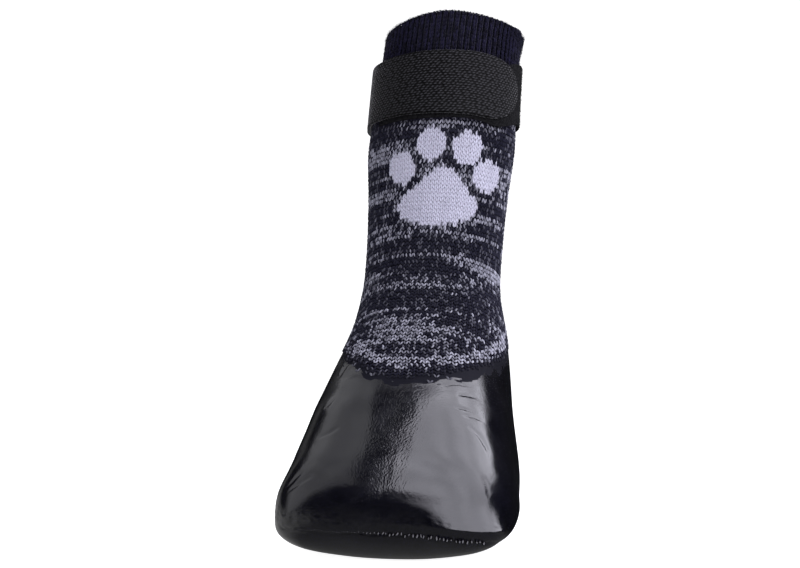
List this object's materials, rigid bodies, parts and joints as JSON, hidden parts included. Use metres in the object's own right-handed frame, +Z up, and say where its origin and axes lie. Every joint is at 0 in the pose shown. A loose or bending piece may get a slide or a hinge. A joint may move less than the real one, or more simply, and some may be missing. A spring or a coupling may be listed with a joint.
{
  "type": "dog sock",
  "caption": "Knitted dog sock with a ribbed cuff, a paw print on the leg, a rubber-dipped foot and a hook-and-loop ankle strap.",
  "frame": {"origin": "on the floor under the middle of the sock's length and width", "axes": "+Z up the leg, toe towards -Y, +X to the right of someone who faces the toe"},
  "size_m": [0.0642, 0.1198, 0.1615],
  "materials": {
    "knit_marl": "matte marled knit, navy and pale grey yarn",
    "dipped_rubber": "glossy, black",
    "loop_tape": "matte looped pile",
    "hook_tape": "woven tape, charcoal"
  },
  "bodies": {
    "root": {"knit_sock": "knit_marl", "rubber_dip": "dipped_rubber", "strap_loop_band": "loop_tape", "strap_hook_tape": "hook_tape"}
  },
  "joints": []
}
